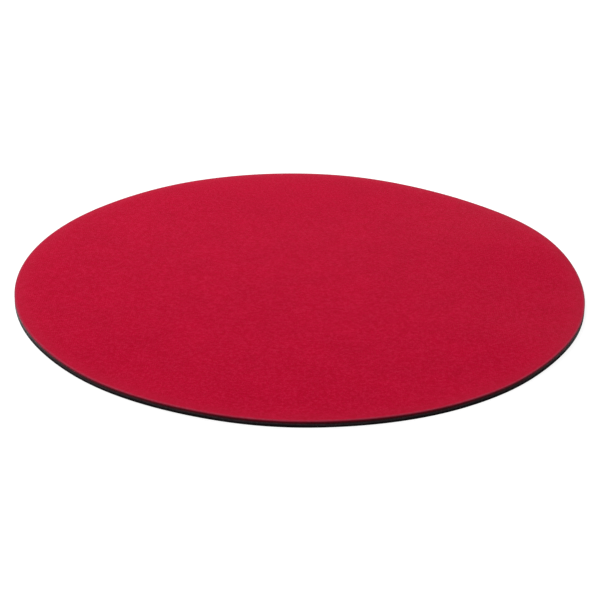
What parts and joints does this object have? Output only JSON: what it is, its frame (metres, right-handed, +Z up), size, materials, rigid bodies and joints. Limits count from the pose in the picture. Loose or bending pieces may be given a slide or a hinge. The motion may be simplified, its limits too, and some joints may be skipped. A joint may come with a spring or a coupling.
{
  "type": "mouse pad",
  "caption": "Round flat mouse pad: a thin knitted cloth face bonded to a sponge rubber sheet with a diamond grip embossed underneath.",
  "frame": {"origin": "centre of the underside, on the surface that the pad lies on", "axes": "+Z up through the centre of the pad, out of the cloth face; -Y is the side nearest the picture's camera"},
  "size_m": [0.2, 0.2, 0.0025],
  "materials": {
    "cloth": "matte",
    "film": "matte",
    "rubber": "matte"
  },
  "bodies": {
    "root": {"cloth_top": "cloth", "adhesive_film": "film", "rubber_base": "rubber"}
  },
  "joints": []
}
